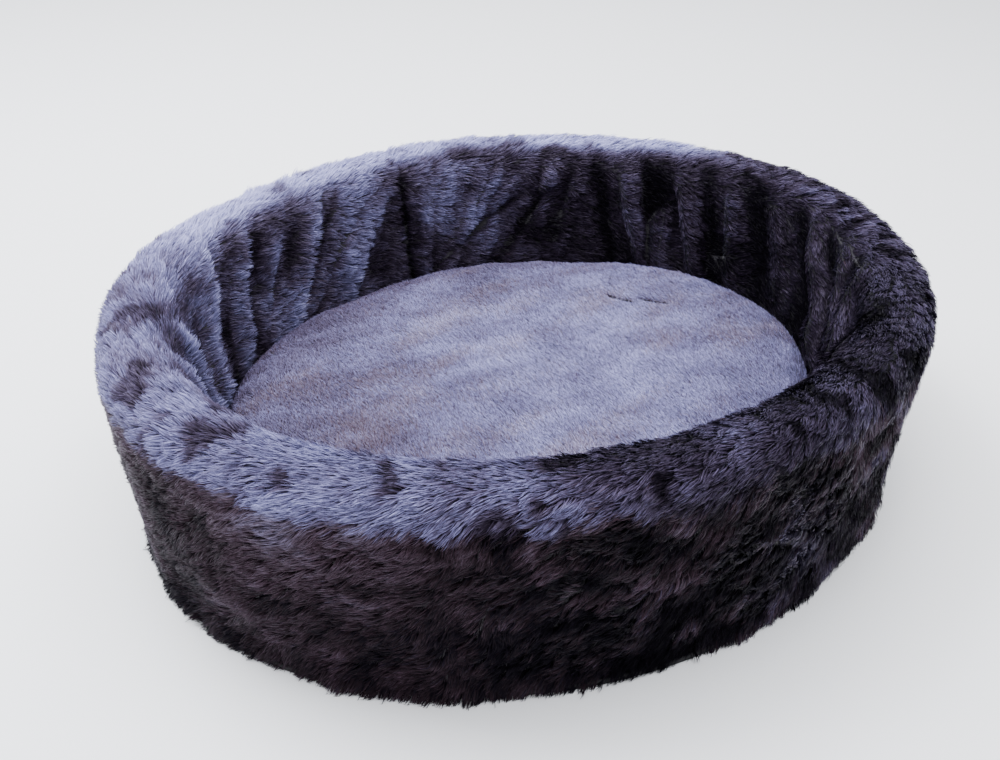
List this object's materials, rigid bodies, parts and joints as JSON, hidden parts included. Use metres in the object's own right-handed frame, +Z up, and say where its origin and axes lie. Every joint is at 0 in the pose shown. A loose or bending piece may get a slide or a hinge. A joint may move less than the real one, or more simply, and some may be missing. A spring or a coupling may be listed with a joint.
{
  "type": "pet cushion bed",
  "caption": "Oval plush pet bed: a soft upright foam wall in a folded fur cover around a flat removable cushion with a zip underneath.",
  "frame": {"origin": "on the floor under the middle of the bed, at the bottom centre of its bounding box", "axes": "+Z up, +X along the bed's long axis, +Y across it towards the back; the front is -Y"},
  "size_m": [0.6198, 0.5058, 0.177],
  "materials": {
    "wall_fur": "matte",
    "cushion_fur": "matte",
    "foam": "matte",
    "wadding": "matte",
    "base_cloth": "matte",
    "lining_cloth": "matte",
    "binding": "matte",
    "underside_cloth": "matte",
    "inner_bag": "matte",
    "zip_tape": "matte",
    "zip_plastic": "satin",
    "zip_metal": "satin",
    "label_satin": "satin"
  },
  "bodies": {
    "bed": {"wall_foam": "foam", "fur_wall_cover": "wall_fur", "bottom_panel": "base_cloth", "floor_wadding": "wadding", "floor_lining": "lining_cloth", "bottom_binding": "binding"},
    "cushion": {"cushion_fur_top": "cushion_fur", "cushion_underside_front": "underside_cloth", "cushion_underside_rear": "underside_cloth", "cushion_inner_bag": "inner_bag", "cushion_fibre_fill": "wadding", "zip_tape_front": "zip_tape", "zip_tape_rear": "zip_tape", "zip_teeth_front": "zip_plastic", "zip_teeth_rear": "zip_plastic", "zip_top_stops": "zip_metal", "zip_bottom_stop": "zip_metal", "care_label": "label_satin"},
    "zip_slider": {"zip_slider": "zip_metal"},
    "zip_pull": {"zip_pull": "zip_metal"}
  },
  "joints": [
    {"name": "cushion_lift", "type": "slide", "parent": "bed", "child": "cushion", "axis": [0, 0, 1], "range_m": [0, 0.2]},
    {"name": "zip_run", "type": "slide", "parent": "cushion", "child": "zip_slider", "axis": [-1, 0, 0], "range_m": [0, 0.32]},
    {"name": "zip_pull_turn", "type": "hinge", "parent": "zip_slider", "child": "zip_pull", "pos_m": [0.1625, 0, 0.0228], "axis": [0, 1, 0], "range_deg": [0, 28]}
  ]
}
